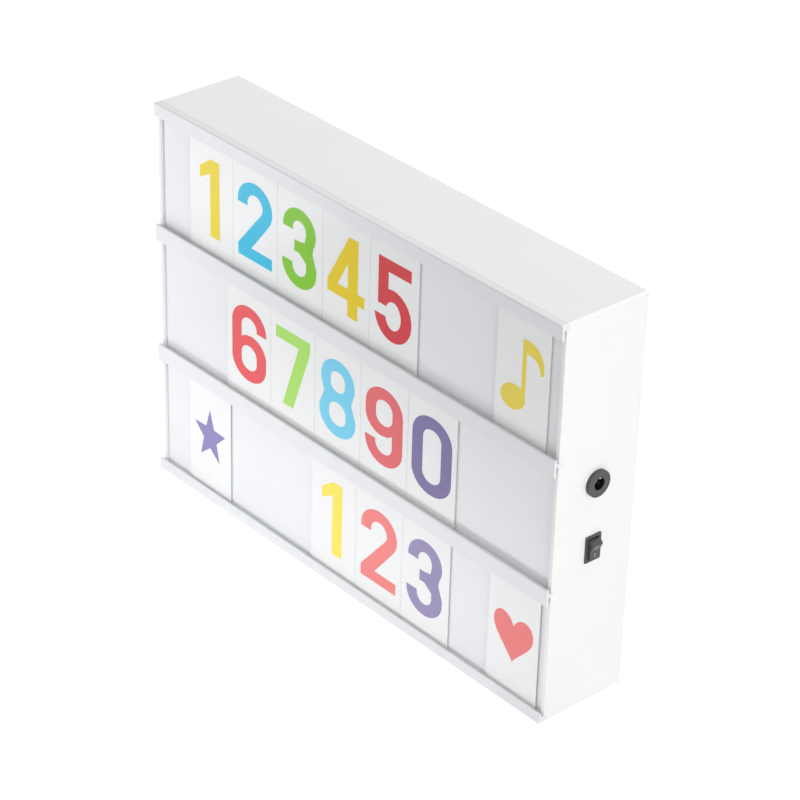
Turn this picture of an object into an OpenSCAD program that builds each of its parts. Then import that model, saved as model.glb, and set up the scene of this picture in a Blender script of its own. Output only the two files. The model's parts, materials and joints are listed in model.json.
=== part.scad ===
// Cinema light box: a shallow plastic case with an opal front panel, four card rails,
// slide-in cards, a power inlet and a rocker switch on its right side, and a battery bay
// behind. X runs to the viewer's right, -Y is the front, Z is up, and the origin is the
// middle of the case's bottom face. All sizes are millimetres.

/* [Case] */
// Width of the case, and length of every rail
case_w = 300; // [290:1:340]
// Depth of the case walls, front edge to back edge
case_d = 51.3; // [48:0.1:62]
// Thickness of the case walls
wall = 2; // [1.7:0.1:2.6]
// Rounding of the case's four long edges
case_r = 1.2; // [0.5:0.1:1.6]
// How far the ledge behind the front panel reaches in from the walls
ledge_w = 2.6; // [2:0.1:4]
// Thickness of that ledge
ledge_t = 2; // [1.5:0.1:3]

/* [Front panel] */
// Thickness of the opal front panel
panel_t = 2; // [1.5:0.1:3]
// How far the walls' front edges stand in front of the panel
panel_recess = 1.5; // [1.2:0.1:2]
// Gap between the panel's edge and the walls
panel_gap = 0.2; // [0.1:0.05:0.4]

/* [Rails] */
// Clear height of one card window between two rails
window_h = 61.7; // [56:0.1:70]
// Height of the top rail
rail_top_h = 7.7; // [7.2:0.1:9]
// Height of the two middle rails
rail_mid_h = 9.6; // [9:0.1:11]
// Height of the bottom rail
rail_bottom_h = 6; // [5:0.1:8]
// How far the rails stand in front of the walls' front edges
rail_proud = 2.7; // [2.3:0.1:3.5]
// Thickness of the rails' front lips
lip_t = 1.5; // [1.2:0.1:1.8]
// Depth of the grooves that open upward
groove_up = 2.4; // [1.8:0.1:3]
// Depth of the grooves that open downward
groove_down = 5; // [4.6:0.1:5.5]
// Rounding of the lips' edges
rail_r = 0.6; // [0.3:0.05:0.75]
// Radius of the pegs that locate the rails on the panel
peg_r = 0.8; // [0.6:0.05:0.9]
// Radial gap around those pegs
peg_gap = 0.05; // [0.03:0.01:0.1]
// Distance from the middle peg to the outer pegs
peg_reach = 128; // [90:1:130]

/* [Cards] */
// Width of a card
card_w = 35; // [30:0.5:36]
// Thickness of a card
card_t = 0.5; // [0.3:0.05:0.7]
// Gap between neighbouring cards of one word
card_gap = 0.15; // [0.1:0.05:0.3]
// Gap between a card and the front panel
card_back_gap = 0.35; // [0.25:0.05:0.5]
// Gap between a card's lower edge and its groove
card_seat_gap = 0.15; // [0.1:0.05:0.3]
// How far a card reaches up behind the rail above it
card_hold = 2.05; // [1.5:0.05:2.4]
// Rounding of a card's corners
card_r = 1; // [0.5:0.1:2]
// Distance of the top row's word from the left wall
word_top_in = 23.5; // [18:0.1:30]
// Distance of the note card from the right wall
note_in = 7.7; // [3:0.1:14]
// Distance of the middle row's word from the left wall
word_middle_in = 53.8; // [40:0.1:62]
// Distance of the star card from the left wall
star_in = 20.6; // [16:0.1:28]
// Distance of the bottom row's word from the right wall
word_bottom_in = 68.2; // [56:0.1:75]
// Distance of the heart card from the right wall
heart_in = 4.6; // [3:0.1:12]

/* [Rocker switch] */
// Height of the switch's middle above the case's bottom face
switch_z = 90; // [75:1:95]
// Height of the bezel
bezel_h = 14.4; // [14.2:0.1:16]
// Width of the bezel
bezel_w = 9.8; // [9.6:0.1:11]
// Thickness of the bezel
bezel_t = 0.8; // [0.7:0.1:1.1]
// Height of the switch body behind the bezel
switch_h = 13.2; // [13:0.1:13.8]
// Width of the switch body behind the bezel
switch_w = 8.7; // [8.5:0.1:9.2]
// Depth of the switch body behind the case's outer face
switch_d = 12; // [11:0.1:14]
// Gap around the switch body in its cut-out
switch_gap = 0.15; // [0.1:0.05:0.25]
// Length of the rocker at its shoulders
rocker_l = 10.2; // [9.8:0.1:10.4]
// Length of the rocker's face from tip to tip
rocker_face = 8; // [7.6:0.1:8.4]
// Width of the rocker
rocker_w = 6.4; // [5.8:0.1:6.6]
// Tilt of the rocker to either side of level
rocker_tilt = 12; // [9:0.5:13]
// Height of the rocker's middle above its pivot
rocker_rise = 3.85; // [3.6:0.05:4.1]
// Depth of the rocker's underside below its pivot
rocker_under = 1.6; // [1.4:0.1:1.8]
// Depth of the pivot behind the bezel's face
pivot_depth = 2.4; // [2.3:0.1:2.8]
// Gap around the rocker in the body
rocker_gap = 0.25; // [0.2:0.05:0.3]
// Radius of the rocker's pivot pins
pivot_r = 1; // [0.8:0.05:1.1]
// Radial running gap around the pivot pins
pivot_gap = 0.05; // [0.02:0.01:0.08]
// Length of a pivot pin beyond the rocker's side
pivot_len = 0.75; // [0.6:0.05:0.8]

/* [Power inlet] */
// Height of the inlet's axis above the case's bottom face
jack_z = 126; // [122:1:140]
// Radius of the inlet's flange
jack_flange_r = 7; // [6.7:0.1:8]
// Thickness of the flange
jack_flange_t = 2; // [1.5:0.1:2.5]
// Radius of the barrel that passes through the wall
jack_barrel_r = 5.9; // [5.4:0.1:6.1]
// Radial gap around the barrel in the wall and the nut
jack_gap = 0.08; // [0.05:0.01:0.15]
// Length of the barrel behind the case's outer face
jack_len = 12; // [10.5:0.1:14]
// Radius of the socket in the barrel
jack_bore_r = 3.2; // [3:0.1:3.4]
// Depth of the socket below the flange's face
jack_bore_d = 9.5; // [8:0.1:10]
// Radius of the centre pin in the socket
jack_pin_r = 1.05; // [0.95:0.05:1.25]
// Radius of the pin's root, in and behind the socket's floor
jack_root_r = 1.45; // [1.35:0.05:1.6]
// Distance of the pin's tip below the flange's face
jack_pin_sunk = 0.8; // [0.5:0.1:1.5]
// Radial gap around the pin's root in the socket's floor
jack_pin_gap = 0.03; // [0.02:0.01:0.05]
// Width across the flats of the nut
nut_flats = 15; // [13.5:0.1:16]
// Thickness of the nut
nut_t = 2.5; // [2:0.1:3]

/* [Batteries] */
// Radius of a cell
cell_r = 7.25; // [7:0.05:7.4]
// Length of a cell's case
cell_l = 49.2; // [48:0.1:50]
// Radius of a cell's positive cap
cap_r = 2.7; // [2.4:0.1:3]
// Height of a cell's positive cap
cap_h = 1.2; // [1:0.1:1.4]
// Gap between neighbouring cells and around the row
cell_gap = 0.4; // [0.3:0.05:0.6]
// Distance from the bay's upper and lower ends to the cells
contact_room = 2.4; // [2.2:0.1:3]
// Thickness of a contact plate
contact_t = 0.4; // [0.3:0.05:0.5]
// Width of a contact plate along the case's depth
contact_w = 9; // [8:0.1:10]
// Thickness of the bay's walls
bay_wall = 2.2; // [2:0.1:2.6]
// Width of the walls' rim that the battery door rests on
door_rim = 0.9; // [0.7:0.1:1.1]
// Height of the bay's lower inner face above the case's bottom face
bay_z = 10; // [9:0.5:11]
// Gap around the battery door
door_gap = 0.3; // [0.25:0.05:0.4]
// Width of one of the door's two upper tabs
tab_w = 9; // [7:0.5:12]
// Height of the tabs above the door's upper edge
tab_h = 3; // [2.5:0.1:3.2]
// Thickness of the tabs
tab_t = 1.2; // [1:0.1:1.4]
// Gap between the tabs and the cover's inner face
tab_gap = 0.2; // [0.15:0.05:0.3]
// Length of the finger notch at the door's lower edge
notch_w = 16; // [12:1:22]

/* [Back cover] */
// Thickness of the back cover and the door
cover_t = 2.4; // [2:0.1:3]
// Gap between the back cover's edge and the walls
cover_gap = 0.2; // [0.1:0.05:0.3]
// Distance between the two keyholes
keyhole_span = 160; // [130:1:200]
// Distance of the keyholes' round ends below the case's top face
keyhole_drop = 22; // [20:1:23]
// Radius of a keyhole's round end
keyhole_r = 4.5; // [4:0.1:5]
// Width of a keyhole's slot
keyhole_slot = 4.2; // [3.8:0.1:4.6]
// Length of a keyhole's slot from the round end's middle
keyhole_l = 9; // [8:0.5:11]
// Depth of the pocket behind a keyhole
pocket_d = 5; // [4:0.5:7]
// Thickness of the pocket's walls
pocket_wall = 1.4; // [1.2:0.1:2]

/* [Lighting] */
// Room for wires between a light bar's ends and the side walls
bar_room = 23; // [20:1:30]
// Height of a light bar's board
bar_h = 10; // [9:0.5:12]
// Thickness of a light bar's board
bar_t = 1.2; // [1:0.1:1.6]
// Height of the spacers behind the upper and middle bars
spacer_h = 3; // [2.6:0.1:5]
// Radius of the spacers and posts
spacer_r = 3; // [2.8:0.1:3.4]
// Number of lamps on a bar
lamp_count = 8; // [6:1:9]
// Distance between neighbouring lamps
lamp_pitch = 28; // [24:1:30]
// Side of a lamp
lamp_side = 5; // [3.5:0.1:5.5]
// Thickness of a lamp
lamp_t = 1.6; // [1:0.1:2]

/* [Screws and wires] */
// Radius of a case screw's shank
screw_r = 1.4; // [1.2:0.1:1.5]
// Length of a case screw's shank
screw_l = 9; // [8:0.5:10]
// Radius of a case screw's head
screw_head_r = 2.8; // [2.5:0.1:3]
// Height of a case screw's head
screw_head_t = 1.2; // [1:0.1:1.4]
// Radial gap around every screw
screw_gap = 0.06; // [0.04:0.01:0.1]
// Radius of the case's screw bosses
boss_r = 4; // [3.8:0.1:4.6]
// Length of the case's screw bosses
boss_l = 13; // [12:0.5:16]
// Radius of a bar screw's shank
bar_screw_r = 1; // [0.9:0.1:1.1]
// Length of a bar screw's shank behind the board
bar_screw_l = 2.4; // [2:0.1:2.5]
// Radius of a bar screw's head
bar_screw_head_r = 1.9; // [1.8:0.1:2.3]
// Radius of a wire
wire_r = 0.8; // [0.6:0.1:1]
// Length of a wire's straight run out of its terminal
wire_out = 3; // [2:0.5:4]
// Distance of the first wire lane from the light bars' ends
lane_near = 5; // [4:0.5:5.5]
// Distance of the second wire lane from the light bars' ends
lane_far = 8; // [7.5:0.5:9]
// Height that a wire takes to turn into its lane
lane_turn = 4; // [3:0.5:6]
// Height of the battery wires' lowest run above the case's bottom face
wire_low = 8; // [7:0.5:9]

/* [Hidden] */

$fn = 48;
eps = 0.01;
white_plastic = "#f4f4f2";
board_white = "#e9ece8";
metal = "#c9cbd0";
dark_plastic = "#26282b";

// Heights along Z
row_1_z = rail_bottom_h;
row_2_z = row_1_z + window_h + rail_mid_h;
row_3_z = row_2_z + window_h + rail_mid_h;
case_h = row_3_z + window_h + rail_top_h;
card_h = window_h + groove_up - card_seat_gap + card_hold;

// Depths along Y
wall_front = -case_d / 2;
wall_back = case_d / 2;
panel_front = wall_front + panel_recess;
panel_back = panel_front + panel_t;
rail_front = wall_front - rail_proud;
rail_depth = panel_front - rail_front;
card_back = panel_front - card_back_gap;
cover_front = wall_back - cover_t;

// Inside of the case
inner_w = case_w - 2 * wall;
inner_top = case_h - wall;
wall_right = case_w / 2;

// Left edges of the words and single cards
word_top_x = -inner_w / 2 + word_top_in;
note_x = inner_w / 2 - note_in - card_w;
word_middle_x = -inner_w / 2 + word_middle_in;
star_x = -inner_w / 2 + star_in;
word_bottom_x = inner_w / 2 - word_bottom_in - 3 * card_w - 2 * card_gap;
heart_x = inner_w / 2 - heart_in - card_w;

// Battery bay
cell_pitch = 2 * cell_r + cell_gap;
cells = 6;
bay_w = cells * cell_pitch + cell_gap;
bay_h = cell_l + cap_h + 2 * contact_room;
bay_d = 2 * cell_r + 2 * cell_gap;
bay_top = bay_z + bay_h;
bay_front = cover_front - bay_d - bay_wall;
cell_y = cover_front - cell_gap - cell_r;
door_w = bay_w + 2 * door_rim;
door_top = bay_top + door_rim;
door_bottom = bay_z - door_rim;
tab_x = bay_w / 4;

// Light bars, one behind the middle of each row
bar_l = inner_w - 2 * bar_room;
bar_lower_z = row_1_z + window_h / 2;
bar_middle_z = row_2_z + window_h / 2;
bar_upper_z = row_3_z + window_h / 2;
bar_back = cover_front - spacer_h;
bar_screw_in = 6;
bar_screw_x = bar_l / 2 - bar_screw_in;
lamp_x0 = -(lamp_count - 1) * lamp_pitch / 2;

// Screws, bosses and keyholes
boss_x = inner_w / 2 - boss_r + 0.4;
boss_low_z = wall + boss_r - 0.4;
boss_high_z = inner_top - boss_r + 0.4;
boss_points = [
  for (x = [-boss_x, boss_x]) for (z = [boss_low_z, case_h / 2, boss_high_z]) [x, z]
];
keyhole_z = case_h - keyhole_drop;
pocket_w = 2 * keyhole_r + 3;

// Switch and inlet
bezel_face = wall_right + bezel_t;
pivot_x = bezel_face - pivot_depth;
rocker_tip = rocker_rise + rocker_face / 2 * tan(rocker_tilt);
rocker_shoulder = rocker_tip - 1.3 * (rocker_l - rocker_face) / 2;
rocker_swing = rocker_l / 2 * cos(rocker_tilt) + rocker_shoulder * sin(rocker_tilt);
rocker_sweep = rocker_l / 2 * sin(rocker_tilt) + rocker_under;
jack_face = wall_right + jack_flange_t;
jack_floor = jack_face - jack_bore_d;
jack_back = wall_right - jack_len;
switch_back = wall_right - switch_d;
terminal_l = 6;
terminal_t = 0.6;
terminal_w = 2.6;
terminal_dz = 3.6;
lug_t = 0.5;
lug_w = 2.4;
lug_dy = 3;

// A rectangle with round corners, its lower left corner at the origin
module round_rect(w, h, r) {
  translate([r, 0]) square([w - 2 * r, h]);
  translate([0, r]) square([w, h - 2 * r]);
  for (x = [r, w - r]) for (y = [r, h - r]) translate([x, y]) circle(r);
}

// Extrudes a shape drawn in X and Z along Y, from y0 to y0 + d
module slab(y0, d) {
  translate([0, y0 + d, 0]) rotate([90, 0, 0]) linear_extrude(d) children();
}

// Extrudes a shape drawn in Y and Z along X, from x0 to x0 + l
module bar_x(x0, l) {
  translate([x0, 0, 0]) rotate([90, 0, 90]) linear_extrude(l) children();
}

// A cylinder along Y from y0 to y0 + l, at x and z
module rod_y(x, y0, z, r, l) {
  translate([x, y0 + l, z]) rotate([90, 0, 0]) cylinder(h = l, r = r);
}

// A cylinder along X from x0 to x0 + l, at y and z
module rod_x(x0, y, z, r, l) {
  translate([x0, y, z]) rotate([0, 90, 0]) cylinder(h = l, r = r);
}

// The case's outline seen from the front
module case_outline() {
  translate([-case_w / 2, 0]) round_rect(case_w, case_h, case_r);
}

// The space inside the four walls, shrunk by margin
module inner_outline(margin) {
  translate([-inner_w / 2 + margin, wall + margin])
    square([inner_w - 2 * margin, inner_top - wall - 2 * margin]);
}

// ---- Case ----

module housing() {
  color(white_plastic)
  difference() {
    union() {
      difference() {
        slab(wall_front, case_d) case_outline();
        slab(wall_front - 1, case_d + 2) inner_outline(0);
      }
      slab(panel_back, ledge_t) difference() {
        inner_outline(-wall / 2);
        inner_outline(ledge_w);
      }
      for (p = boss_points) rod_y(p[0], cover_front - boss_l, p[1], boss_r, boss_l);
    }
    for (p = boss_points)
      rod_y(p[0], cover_front - screw_l, p[1], screw_r + screw_gap, screw_l + 1);
    rail_seats();
    rod_x(wall_right - wall - 1, 0, jack_z, jack_barrel_r + jack_gap, wall + 2);
    translate([wall_right - wall - 1, -switch_w / 2 - switch_gap,
               switch_z - switch_h / 2 - switch_gap])
      cube([wall + 2, switch_w + 2 * switch_gap, switch_h + 2 * switch_gap]);
  }
}

// What the rails' webs take out of the walls' front edges
module rail_seats() {
  x0 = -case_w / 2 - 1;
  l = case_w + 2;
  y0 = wall_front - 1;
  d = panel_recess + 1;
  translate([x0, y0, case_h - (rail_top_h - groove_down)])
    cube([l, d, rail_top_h - groove_down + 1]);
  for (z = [row_2_z, row_3_z])
    translate([x0, y0, z - rail_mid_h + groove_down])
      cube([l, d, rail_mid_h - groove_down - groove_up]);
  translate([x0, y0, -1]) cube([l, d, rail_bottom_h - groove_up + 1]);
}

module front_panel() {
  color("#eef0f2")
  difference() {
    slab(panel_front, panel_t) inner_outline(panel_gap);
    for (i = [1, 2]) for (x = peg_places)
      rod_y(x, panel_front - 1, web_middle(i), peg_r + peg_gap, panel_t + 2);
  }
}

// ---- Rails ----

rail_zs = [0, row_2_z - rail_mid_h, row_3_z - rail_mid_h, case_h - rail_top_h];
rail_hs = [rail_bottom_h, rail_mid_h, rail_mid_h, rail_top_h];
// Where each rail's web starts above its lower edge, and how thick the web is
web_zs = [0, groove_down, groove_down, groove_down];
web_ts = [rail_bottom_h - groove_up, rail_mid_h - groove_down - groove_up,
          rail_mid_h - groove_down - groove_up, rail_top_h - groove_down];
peg_places = [-peg_reach, 0, peg_reach];

function web_middle(i) = rail_zs[i] + web_zs[i] + web_ts[i] / 2;

// One rail: a web that stands on the panel, and a front lip that forms the grooves.
// The two middle rails also have pegs that sit in the panel.
module rail(i) {
  color(white_plastic)
  intersection() {
    union() {
      bar_x(-case_w / 2, case_w) {
        translate([rail_front, rail_zs[i]]) round_rect(lip_t, rail_hs[i], rail_r);
        translate([rail_front + lip_t / 2, rail_zs[i] + web_zs[i]])
          square([rail_depth - lip_t / 2, web_ts[i]]);
      }
      if (i == 1 || i == 2)
        for (x = peg_places) rod_y(x, panel_front - eps, web_middle(i), peg_r, panel_t + eps);
    }
    slab(rail_front - 1, case_d) case_outline();
  }
}

module rail_top() { rail(3); }
module rail_upper() { rail(2); }
module rail_lower() { rail(1); }
module rail_bottom() { rail(0); }

// ---- Cards ----

// A card standing in its grooves, with its left edge at x, in the row whose window starts at z
module card(x, z) {
  color("#f3f6f7")
  translate([x, 0, z - groove_up + card_seat_gap])
    slab(card_back - card_t, card_t) round_rect(card_w, card_h, card_r);
}

// The card at a place in a word, counted from 1
module word_card(x, z, place) { card(x + (place - 1) * (card_w + card_gap), z); }

// ---- Back cover, battery bay and door ----

module keyhole_outline() {
  circle(keyhole_r);
  translate([-keyhole_slot / 2, 0]) square([keyhole_slot, keyhole_l]);
  translate([0, keyhole_l]) circle(keyhole_slot / 2);
}

module keyhole_pocket() {
  h = keyhole_r + keyhole_l + keyhole_slot / 2 + 3;
  difference() {
    translate([-pocket_w / 2 - pocket_wall, cover_front - pocket_d - pocket_wall,
               -keyhole_r - 1.5 - pocket_wall])
      cube([pocket_w + 2 * pocket_wall, pocket_d + pocket_wall + eps, h + 2 * pocket_wall]);
    translate([-pocket_w / 2, cover_front - pocket_d, -keyhole_r - 1.5])
      cube([pocket_w, pocket_d + 1, h]);
  }
}

module cover_plate() {
  slab(cover_front, cover_t) inner_outline(cover_gap);
}

module door_opening() {
  translate([-door_w / 2 - door_gap, cover_front - 1, door_bottom - door_gap])
    cube([door_w + 2 * door_gap, cover_t + 2, door_top - door_bottom + 2 * door_gap]);
}

module battery_bay() {
  difference() {
    translate([-bay_w / 2 - bay_wall, bay_front, bay_z - bay_wall])
      cube([bay_w + 2 * bay_wall, bay_d + bay_wall + eps, bay_h + 2 * bay_wall]);
    translate([-bay_w / 2, bay_front + bay_wall, bay_z])
      cube([bay_w, bay_d + 1, bay_h]);
    // Room for the door's tabs to swing in
    for (x = [-tab_x, tab_x])
      translate([x - tab_w / 2 - door_gap, cover_front - tab_room, bay_top - eps])
        cube([tab_w + 2 * door_gap, tab_room + 1, bay_wall + 1]);
    // Slots for the tails of the two end contacts
    for (s = [-1, 1])
      translate([s * (bay_w / 2 + bay_wall / 2) - bay_wall, cell_y - tail_w / 2 - 0.2, bay_z - eps])
        cube([2 * bay_wall, tail_w + 0.4, contact_t + 0.2]);
  }
}

tail_w = 4;
tail_l = 4;
tab_room = tab_t + tab_gap + tab_h;
post_points = [for (x = [-bar_screw_x, 0, bar_screw_x]) for (z = [bar_middle_z, bar_upper_z]) [x, z]];
lower_posts = [-bar_screw_x, bar_screw_x];

module back_cover() {
  color(white_plastic)
  difference() {
    union() {
      difference() {
        cover_plate();
        door_opening();
      }
      battery_bay();
      for (s = [-1, 1])
        translate([s * keyhole_span / 2, 0, keyhole_z]) keyhole_pocket();
      for (p = post_points) rod_y(p[0], bar_back, p[1], spacer_r, spacer_h + eps);
      for (x = lower_posts)
        rod_y(x, bay_front, bar_lower_z, spacer_r, cover_front - bay_front + eps);
    }
    for (s = [-1, 1])
      translate([s * keyhole_span / 2, 0, keyhole_z]) slab(cover_front - 0.5, cover_t + 1) keyhole_outline();
    for (p = boss_points) {
      rod_y(p[0], cover_front - 1, p[1], screw_r + screw_gap, cover_t + 2);
      rod_y(p[0], wall_back - screw_head_t, p[1], screw_head_r + screw_gap, screw_head_t + 1);
    }
    for (p = post_points)
      rod_y(p[0], bar_back - 1, p[1], bar_screw_r + screw_gap, bar_screw_l + 1.1);
    for (x = lower_posts)
      rod_y(x, bay_front - 1, bar_lower_z, bar_screw_r + screw_gap, bar_screw_l + 1.1);
    // Finger notch in the cover's edge below the door
    translate([-notch_w / 2, wall_back - cover_t / 2, door_bottom - door_gap - notch_reach])
      cube([notch_w, cover_t, notch_reach + 1]);
  }
}

notch_reach = 3;

module battery_door() {
  color(white_plastic)
  difference() {
    union() {
      translate([-door_w / 2, cover_front + 2 * eps, door_bottom])
        cube([door_w, cover_t - 2 * eps, door_top - door_bottom]);
      for (x = [-tab_x, tab_x]) translate([x - tab_w / 2, cover_front - tab_gap - tab_t, bay_top + 0.1]) {
        cube([tab_w, tab_t, door_rim + tab_h - 0.1]);
        cube([tab_w, tab_t + tab_gap + cover_t / 2, door_rim - 0.1]);
      }
    }
    // Grip ridges: three shallow cuts across the door near its lower edge
    for (k = [0:2])
      translate([-notch_w / 2, wall_back - ridge_d, door_bottom + 4 + 2.4 * k])
        cube([notch_w, ridge_d + 1, 1.2]);
  }
}

ridge_d = 0.5;

// ---- Cells and contacts ----

// A cell with its cap up when up is 1, down when it is -1
module cell(place) {
  up = place % 2 == 1 ? 1 : -1;
  x = -bay_w / 2 + cell_gap + cell_r + (place - 1) * cell_pitch;
  body_z = bay_z + contact_room + (up > 0 ? 0 : cap_h);
  cap_z = up > 0 ? body_z + cell_l - eps : body_z - cap_h;
  color("#b7bcc0") {
    translate([x, cell_y, body_z]) cylinder(h = cell_l, r = cell_r);
    translate([x, cell_y, cap_z]) cylinder(h = cap_h + eps, r = cap_r);
  }
}

// A contact plate on the bay's lower (side -1) or upper (side 1) end over the cells from a to b
module contact_plate(a, b, side) {
  x0 = -bay_w / 2 + cell_gap + (a - 1) * cell_pitch + 1;
  x1 = -bay_w / 2 + b * cell_pitch - 1;
  z = side < 0 ? bay_z : bay_top - contact_t;
  translate([x0, cell_y - contact_w / 2, z]) cube([x1 - x0, contact_w, contact_t]);
}

// The raised tongue of a contact plate that presses on the cell at a place
module contact_tongue(place, side) {
  x = -bay_w / 2 + cell_gap + cell_r + (place - 1) * cell_pitch;
  lift = contact_room - contact_t - 0.1;
  w = 3.4;
  translate([x, cell_y, side < 0 ? bay_z + contact_t - eps : bay_top - contact_t + eps])
    mirror([0, 0, side < 0 ? 0 : 1])
      rotate([90, 0, 0])
        translate([0, 0, -w / 2])
          linear_extrude(w)
            polygon([[-4.6, 0], [-1.6, lift], [1.8, lift], [1.8, lift - contact_t],
                     [-1.3, lift - contact_t], [-4, 0]]);
}

module battery_contacts_upper() {
  color(metal) {
    for (a = [1, 3, 5]) contact_plate(a, a + 1, 1);
    for (k = [1:cells]) contact_tongue(k, 1);
  }
}

module battery_contacts_lower() {
  color(metal) {
    for (pair = [[1, 1], [2, 3], [4, 5], [6, 6]]) contact_plate(pair[0], pair[1], -1);
    for (k = [1:cells]) contact_tongue(k, -1);
    for (s = [-1, 1])
      translate([s > 0 ? bay_w / 2 - cell_gap - 3 : -bay_w / 2 - bay_wall - tail_l,
                 cell_y - tail_w / 2, bay_z])
        cube([bay_wall + tail_l + cell_gap + 3, tail_w, contact_t]);
  }
}

// ---- Lighting ----

// One board with its screw holes, its back face at y
module light_bar(y, z) {
  color(board_white)
  difference() {
    translate([-bar_l / 2, y - bar_t, z - bar_h / 2]) cube([bar_l, bar_t, bar_h]);
    for (x = bar_holes(z)) rod_y(x, y - bar_t - 1, z, bar_screw_r + screw_gap, bar_t + 2);
  }
}

// The lower bar crosses the battery bay, so it has no middle screw
function bar_holes(z) = z == bar_lower_z ? lower_posts : [-bar_screw_x, 0, bar_screw_x];

module lamps(y, z) {
  color("#f6e9a8")
  for (k = [0:lamp_count - 1])
    translate([lamp_x0 + k * lamp_pitch - lamp_side / 2, y - bar_t - lamp_t, z - lamp_side / 2])
      difference() {
        cube([lamp_side, lamp_t, lamp_side]);
        translate([lamp_side / 2, -eps, lamp_side / 2]) rotate([-90, 0, 0])
          cylinder(h = 0.4, r = lamp_side * 0.38);
      }
}

module light_bar_upper() { light_bar(bar_back, bar_upper_z); }
module light_bar_middle() { light_bar(bar_back, bar_middle_z); }
module light_bar_lower() { light_bar(bay_front, bar_lower_z); }
module lamps_upper() { lamps(bar_back, bar_upper_z); }
module lamps_middle() { lamps(bar_back, bar_middle_z); }
module lamps_lower() { lamps(bay_front, bar_lower_z); }

module resistors() {
  color("#3a3b3d")
  for (spot = [[bar_back, bar_upper_z], [bar_back, bar_middle_z], [bay_front, bar_lower_z]])
    for (k = [0, 2, lamp_count - 4, lamp_count - 2])
      translate([lamp_x0 + (k + 0.5) * lamp_pitch + 3, spot[0] - bar_t - 0.6, spot[1] - 0.8])
        cube([3.2, 0.6, 1.6]);
}

// ---- Screws ----

module case_screws() {
  color(metal)
  for (p = boss_points) difference() {
    union() {
      rod_y(p[0], cover_front - screw_l + 0.5, p[1], screw_r,
            screw_l - 0.5 + cover_t - screw_head_t + eps);
      rod_y(p[0], wall_back - screw_head_t, p[1], screw_head_r, screw_head_t - 0.1);
    }
    for (a = [0, 90])
      translate([p[0], wall_back - screw_head_t / 2, p[1]]) rotate([0, a, 0])
        translate([-1.5, 0, -0.3]) cube([3, screw_head_t, 0.6]);
  }
}

module bar_screw(x, y, z) {
  head_t = 0.9;
  difference() {
    union() {
      rod_y(x, y - bar_t - eps, z, bar_screw_r, bar_t + bar_screw_l - 0.1);
      rod_y(x, y - bar_t - head_t, z, bar_screw_head_r, head_t);
    }
    for (a = [0, 90])
      translate([x, y - bar_t - head_t - 0.5, z]) rotate([0, a, 0])
        translate([-1, 0, -0.22]) cube([2, 1, 0.44]);
  }
}

module bar_screws() {
  color(metal) {
    for (p = post_points) bar_screw(p[0], bar_back, p[1]);
    for (x = lower_posts) bar_screw(x, bay_front, bar_lower_z);
  }
}

// ---- Rocker switch ----

module switch_body() {
  color(dark_plastic)
  difference() {
    union() {
      translate([wall_right, -bezel_w / 2, switch_z - bezel_h / 2])
        rotate([90, 0, 90]) linear_extrude(bezel_t) round_rect(bezel_w, bezel_h, 0.4);
      translate([switch_back, -switch_w / 2, switch_z - switch_h / 2])
        cube([switch_d + eps, switch_w, switch_h]);
      // Snap ears behind the wall
      for (s = [-1, 1])
        translate([wall_right - wall - 3.2, -2, s * (switch_h / 2 + 0.35) + switch_z - 0.45])
          cube([3, 4, 0.9]);
    }
    // Well for the rocker
    translate([pivot_x - rocker_sweep - rocker_gap, -rocker_w / 2 - rocker_gap,
               switch_z - rocker_swing - rocker_gap])
      cube([pivot_depth + rocker_sweep + rocker_gap + 1, rocker_w + 2 * rocker_gap,
            2 * (rocker_swing + rocker_gap)]);
    // Pivot bores in the two side walls
    translate([pivot_x, rocker_w / 2 + pivot_len + 0.1, switch_z]) rotate([90, 0, 0])
      cylinder(h = rocker_w + 2 * pivot_len + 0.2, r = pivot_r + pivot_gap);
  }
}

// The rocker, tilted so that its upper end stands out
module switch_rocker() {
  color("#1f2022")
  translate([pivot_x, 0, switch_z]) rotate([0, rocker_tilt, 0]) {
    translate([0, rocker_w / 2, 0]) rotate([90, 0, 0]) linear_extrude(rocker_w)
      polygon([[-rocker_under, -rocker_l / 2 + 1.4], [-rocker_under, rocker_l / 2 - 1.4],
               [0, rocker_l / 2], [rocker_shoulder, rocker_l / 2],
               [rocker_tip, rocker_face / 2], [rocker_rise, 0],
               [rocker_tip, -rocker_face / 2], [rocker_shoulder, -rocker_l / 2],
               [0, -rocker_l / 2]]);
    translate([0, rocker_w / 2 + pivot_len, 0]) rotate([90, 0, 0])
      cylinder(h = rocker_w + 2 * pivot_len, r = pivot_r);
  }
}

module switch_terminals() {
  color(metal)
  for (s = [-1, 1])
    translate([switch_back - terminal_l, -terminal_w / 2,
               switch_z + s * terminal_dz - terminal_t / 2])
      cube([terminal_l, terminal_w, terminal_t]);
}

// ---- Power inlet ----

module dc_jack_body() {
  color(dark_plastic)
  difference() {
    union() {
      rod_x(wall_right, 0, jack_z, jack_flange_r, jack_flange_t);
      rod_x(jack_back, 0, jack_z, jack_barrel_r, jack_len + eps);
    }
    rod_x(jack_floor, 0, jack_z, jack_bore_r, jack_bore_d + 1);
    rod_x(jack_back - 1, 0, jack_z, jack_root_r + jack_pin_gap, jack_len);
  }
}

module dc_jack_pin() {
  color(metal) {
    rod_x(jack_back - pin_tail, 0, jack_z, jack_root_r, jack_floor - jack_back + pin_tail);
    rod_x(jack_floor - eps, 0, jack_z, jack_pin_r, jack_face - jack_pin_sunk - jack_floor + eps);
  }
}

pin_tail = 5;

module dc_jack_nut() {
  color(metal)
  difference() {
    translate([wall_right - wall - nut_t, 0, jack_z]) rotate([0, 90, 0])
      cylinder(h = nut_t, r = nut_flats / 2 / cos(30), $fn = 6);
    rod_x(wall_right - wall - nut_t - 1, 0, jack_z, jack_barrel_r + jack_gap, nut_t + 2);
  }
}

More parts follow.
